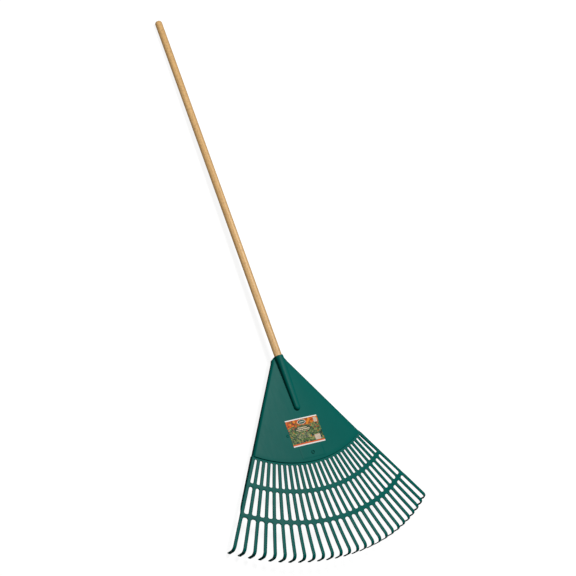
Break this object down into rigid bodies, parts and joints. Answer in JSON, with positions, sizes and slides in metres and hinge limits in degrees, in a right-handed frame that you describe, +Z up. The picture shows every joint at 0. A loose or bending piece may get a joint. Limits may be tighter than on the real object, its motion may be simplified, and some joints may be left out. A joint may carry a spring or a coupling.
{
  "type": "leaf rake",
  "caption": "Leaf rake with a moulded green fan head of springy bent tines on a long round wooden handle.",
  "frame": {"origin": "centre of the rake's bounding box, at ground level, with the rake lying on its two outermost tips and on the butt of its handle", "axes": "+Z up, away from the tips; +Y along the handle from the head to the butt, level with the ground; +X across the fan"},
  "size_m": [0.6442, 1.7265, 0.0791],
  "materials": {
    "wood": "turned hardwood, thin clear lacquer",
    "green_plastic": "moulded polypropylene, satin",
    "label_film": "printed label, satin",
    "screw_steel": "zinc plated"
  },
  "bodies": {
    "rake": {"handle": "wood", "handle_screw": "screw_steel", "head_panel": "green_plastic", "tine_grid": "green_plastic", "label": "label_film"},
    "tine_01": {"tine_01": "green_plastic"},
    "tine_02": {"tine_02": "green_plastic"},
    "tine_03": {"tine_03": "green_plastic"},
    "tine_04": {"tine_04": "green_plastic"},
    "tine_05": {"tine_05": "green_plastic"},
    "tine_06": {"tine_06": "green_plastic"},
    "tine_07": {"tine_07": "green_plastic"},
    "tine_08": {"tine_08": "green_plastic"},
    "tine_09": {"tine_09": "green_plastic"},
    "tine_10": {"tine_10": "green_plastic"},
    "tine_11": {"tine_11": "green_plastic"},
    "tine_12": {"tine_12": "green_plastic"},
    "tine_13": {"tine_13": "green_plastic"},
    "tine_14": {"tine_14": "green_plastic"},
    "tine_15": {"tine_15": "green_plastic"},
    "tine_16": {"tine_16": "green_plastic"},
    "tine_17": {"tine_17": "green_plastic"},
    "tine_18": {"tine_18": "green_plastic"},
    "tine_19": {"tine_19": "green_plastic"},
    "tine_20": {"tine_20": "green_plastic"},
    "tine_21": {"tine_21": "green_plastic"},
    "tine_22": {"tine_22": "green_plastic"},
    "tine_23": {"tine_23": "green_plastic"},
    "tine_24": {"tine_24": "green_plastic"},
    "tine_25": {"tine_25": "green_plastic"},
    "tine_26": {"tine_26": "green_plastic"}
  },
  "joints": [
    {"name": "tine_01_flex", "type": "hinge", "parent": "rake", "child": "tine_01", "pos_m": [-0.27101, -0.69467, 0.03265], "axis": [-0.8434, 0.5372, -0.0116], "range_deg": [-12, 20], "stiffness_Nm_per_rad": 2.5},
    {"name": "tine_02_flex", "type": "hinge", "parent": "rake", "child": "tine_02", "pos_m": [-0.25144, -0.70644, 0.03669], "axis": [-0.8669, 0.4984, -0.0107], "range_deg": [-12, 20], "stiffness_Nm_per_rad": 2.5},
    {"name": "tine_03_flex", "type": "hinge", "parent": "rake", "child": "tine_03", "pos_m": [-0.23134, -0.71732, 0.04051], "axis": [-0.8886, 0.4585, -0.0099], "range_deg": [-12, 20], "stiffness_Nm_per_rad": 2.5},
    {"name": "tine_04_flex", "type": "hinge", "parent": "rake", "child": "tine_04", "pos_m": [-0.21077, -0.72728, 0.04409], "axis": [-0.9085, 0.4178, -0.009], "range_deg": [-12, 20], "stiffness_Nm_per_rad": 2.5},
    {"name": "tine_05_flex", "type": "hinge", "parent": "rake", "child": "tine_05", "pos_m": [-0.18977, -0.7363, 0.04739], "axis": [-0.9265, 0.3761, -0.0081], "range_deg": [-12, 20], "stiffness_Nm_per_rad": 2.5},
    {"name": "tine_06_flex", "type": "hinge", "parent": "rake", "child": "tine_06", "pos_m": [-0.16837, -0.74436, 0.0504], "axis": [-0.9426, 0.3337, -0.0072], "range_deg": [-12, 20], "stiffness_Nm_per_rad": 2.5},
    {"name": "tine_07_flex", "type": "hinge", "parent": "rake", "child": "tine_07", "pos_m": [-0.14663, -0.75145, 0.05308], "axis": [-0.9568, 0.2906, -0.0063], "range_deg": [-12, 20], "stiffness_Nm_per_rad": 2.5},
    {"name": "tine_08_flex", "type": "hinge", "parent": "rake", "child": "tine_08", "pos_m": [-0.12459, -0.75756, 0.05542], "axis": [-0.969, 0.2469, -0.0053], "range_deg": [-12, 20], "stiffness_Nm_per_rad": 2.5},
    {"name": "tine_09_flex", "type": "hinge", "parent": "rake", "child": "tine_09", "pos_m": [-0.10229, -0.76267, 0.0574], "axis": [-0.9792, 0.2027, -0.0044], "range_deg": [-12, 20], "stiffness_Nm_per_rad": 2.5},
    {"name": "tine_10_flex", "type": "hinge", "parent": "rake", "child": "tine_10", "pos_m": [-0.07977, -0.76676, 0.05901], "axis": [-0.9874, 0.1581, -0.0034], "range_deg": [-12, 20], "stiffness_Nm_per_rad": 2.5},
    {"name": "tine_11_flex", "type": "hinge", "parent": "rake", "child": "tine_11", "pos_m": [-0.0571, -0.76984, 0.06022], "axis": [-0.9936, 0.1132, -0.0024], "range_deg": [-12, 20], "stiffness_Nm_per_rad": 2.5},
    {"name": "tine_12_flex", "type": "hinge", "parent": "rake", "child": "tine_12", "pos_m": [-0.03431, -0.7719, 0.06104], "axis": [-0.9977, 0.068, -0.0015], "range_deg": [-12, 20], "stiffness_Nm_per_rad": 2.5},
    {"name": "tine_13_flex", "type": "hinge", "parent": "rake", "child": "tine_13", "pos_m": [-0.01144, -0.77293, 0.06144], "axis": [-0.9997, 0.0227, -0.0005], "range_deg": [-12, 20], "stiffness_Nm_per_rad": 2.5},
    {"name": "tine_14_flex", "type": "hinge", "parent": "rake", "child": "tine_14", "pos_m": [0.01144, -0.77293, 0.06144], "axis": [-0.9997, -0.0227, 0.0005], "range_deg": [-12, 20], "stiffness_Nm_per_rad": 2.5},
    {"name": "tine_15_flex", "type": "hinge", "parent": "rake", "child": "tine_15", "pos_m": [0.03431, -0.7719, 0.06104], "axis": [-0.9977, -0.068, 0.0015], "range_deg": [-12, 20], "stiffness_Nm_per_rad": 2.5},
    {"name": "tine_16_flex", "type": "hinge", "parent": "rake", "child": "tine_16", "pos_m": [0.0571, -0.76984, 0.06022], "axis": [-0.9936, -0.1132, 0.0024], "range_deg": [-12, 20], "stiffness_Nm_per_rad": 2.5},
    {"name": "tine_17_flex", "type": "hinge", "parent": "rake", "child": "tine_17", "pos_m": [0.07977, -0.76676, 0.05901], "axis": [-0.9874, -0.1581, 0.0034], "range_deg": [-12, 20], "stiffness_Nm_per_rad": 2.5},
    {"name": "tine_18_flex", "type": "hinge", "parent": "rake", "child": "tine_18", "pos_m": [0.10229, -0.76267, 0.0574], "axis": [-0.9792, -0.2027, 0.0044], "range_deg": [-12, 20], "stiffness_Nm_per_rad": 2.5},
    {"name": "tine_19_flex", "type": "hinge", "parent": "rake", "child": "tine_19", "pos_m": [0.12459, -0.75756, 0.05542], "axis": [-0.969, -0.2469, 0.0053], "range_deg": [-12, 20], "stiffness_Nm_per_rad": 2.5},
    {"name": "tine_20_flex", "type": "hinge", "parent": "rake", "child": "tine_20", "pos_m": [0.14663, -0.75145, 0.05308], "axis": [-0.9568, -0.2906, 0.0063], "range_deg": [-12, 20], "stiffness_Nm_per_rad": 2.5},
    {"name": "tine_21_flex", "type": "hinge", "parent": "rake", "child": "tine_21", "pos_m": [0.16837, -0.74436, 0.0504], "axis": [-0.9426, -0.3337, 0.0072], "range_deg": [-12, 20], "stiffness_Nm_per_rad": 2.5},
    {"name": "tine_22_flex", "type": "hinge", "parent": "rake", "child": "tine_22", "pos_m": [0.18977, -0.7363, 0.04739], "axis": [-0.9265, -0.3761, 0.0081], "range_deg": [-12, 20], "stiffness_Nm_per_rad": 2.5},
    {"name": "tine_23_flex", "type": "hinge", "parent": "rake", "child": "tine_23", "pos_m": [0.21077, -0.72728, 0.04409], "axis": [-0.9085, -0.4178, 0.009], "range_deg": [-12, 20], "stiffness_Nm_per_rad": 2.5},
    {"name": "tine_24_flex", "type": "hinge", "parent": "rake", "child": "tine_24", "pos_m": [0.23134, -0.71732, 0.04051], "axis": [-0.8886, -0.4585, 0.0099], "range_deg": [-12, 20], "stiffness_Nm_per_rad": 2.5},
    {"name": "tine_25_flex", "type": "hinge", "parent": "rake", "child": "tine_25", "pos_m": [0.25144, -0.70644, 0.03669], "axis": [-0.8669, -0.4984, 0.0107], "range_deg": [-12, 20], "stiffness_Nm_per_rad": 2.5},
    {"name": "tine_26_flex", "type": "hinge", "parent": "rake", "child": "tine_26", "pos_m": [0.27101, -0.69467, 0.03265], "axis": [-0.8434, -0.5372, 0.0116], "range_deg": [-12, 20], "stiffness_Nm_per_rad": 2.5}
  ]
}
